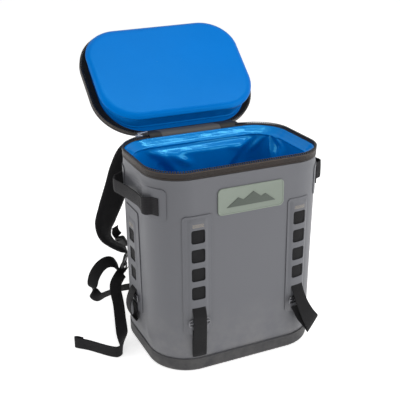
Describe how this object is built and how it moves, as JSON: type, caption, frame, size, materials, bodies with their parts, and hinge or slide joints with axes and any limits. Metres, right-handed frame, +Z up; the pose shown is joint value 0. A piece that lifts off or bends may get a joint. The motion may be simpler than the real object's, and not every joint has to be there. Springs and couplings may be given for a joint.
{
  "type": "cooler backpack",
  "caption": "Soft-sided insulated backpack cooler, standing with its zipped lid laid open; webbing handles, gear loops, front badge and shoulder harness.",
  "frame": {"origin": "middle of the underside of the base", "axes": "+Z up, -Y the front with the badge, +X to the right of someone who looks at the front"},
  "size_m": [0.5249, 0.5319, 0.6047],
  "materials": {
    "shell_fabric": "coated woven fabric, satin",
    "base_rubber": "moulded, matt",
    "liner_film": "welded film, glossy",
    "cushion_film": "coated fabric over soft foam, glossy",
    "webbing": "woven, matt",
    "pad_fabric": "padded, matt",
    "zip_tape": "coated tape, satin",
    "zip_teeth": "moulded, satin",
    "slider_metal": "cast, satin",
    "buckle_metal": "dark, satin",
    "buckle_plastic": "moulded, satin",
    "badge_rubber": "moulded, matt",
    "badge_relief": "moulded, matt"
  },
  "bodies": {
    "root": {"shell": "shell_fabric", "lid_shell": "shell_fabric", "hinge_strip": "shell_fabric", "back_yoke": "shell_fabric", "patch_front_left": "shell_fabric", "patch_front_right": "shell_fabric", "patch_side_left": "shell_fabric", "patch_side_right": "shell_fabric", "handle_patch_front_left": "shell_fabric", "handle_patch_rear_left": "shell_fabric", "handle_patch_front_right": "shell_fabric", "handle_patch_rear_right": "shell_fabric", "base_tray": "base_rubber", "liner": "liner_film", "lid_facing": "cushion_film", "lid_cushion": "cushion_film", "lash_strap_front_left": "webbing", "lash_strap_front_right": "webbing", "lash_strap_side_left": "webbing", "lash_strap_side_right": "webbing", "handle_left": "webbing", "handle_right": "webbing", "adjuster_webbing_left": "webbing", "adjuster_webbing_right": "webbing", "lower_anchor_left": "webbing", "lower_anchor_right": "webbing", "chest_strap_left": "webbing", "chest_strap_right": "webbing", "zip_garage_left": "webbing", "zip_garage_right": "webbing", "shoulder_pad_left": "pad_fabric", "shoulder_pad_right": "pad_fabric", "zip_tape_body": "zip_tape", "zip_tape_lid": "zip_tape", "zip_teeth_body": "zip_teeth", "zip_teeth_lid": "zip_teeth", "zip_slider": "slider_metal", "zip_pull": "slider_metal", "lash_buckle_front_left": "buckle_metal", "lash_buckle_front_right": "buckle_metal", "lash_buckle_side_left": "buckle_metal", "lash_buckle_side_right": "buckle_metal", "ladder_lock_left": "buckle_plastic", "ladder_lock_right": "buckle_plastic", "chest_buckle_left": "buckle_plastic", "chest_buckle_right": "buckle_plastic", "badge": "badge_rubber", "badge_figure": "badge_relief"}
  },
  "joints": []
}
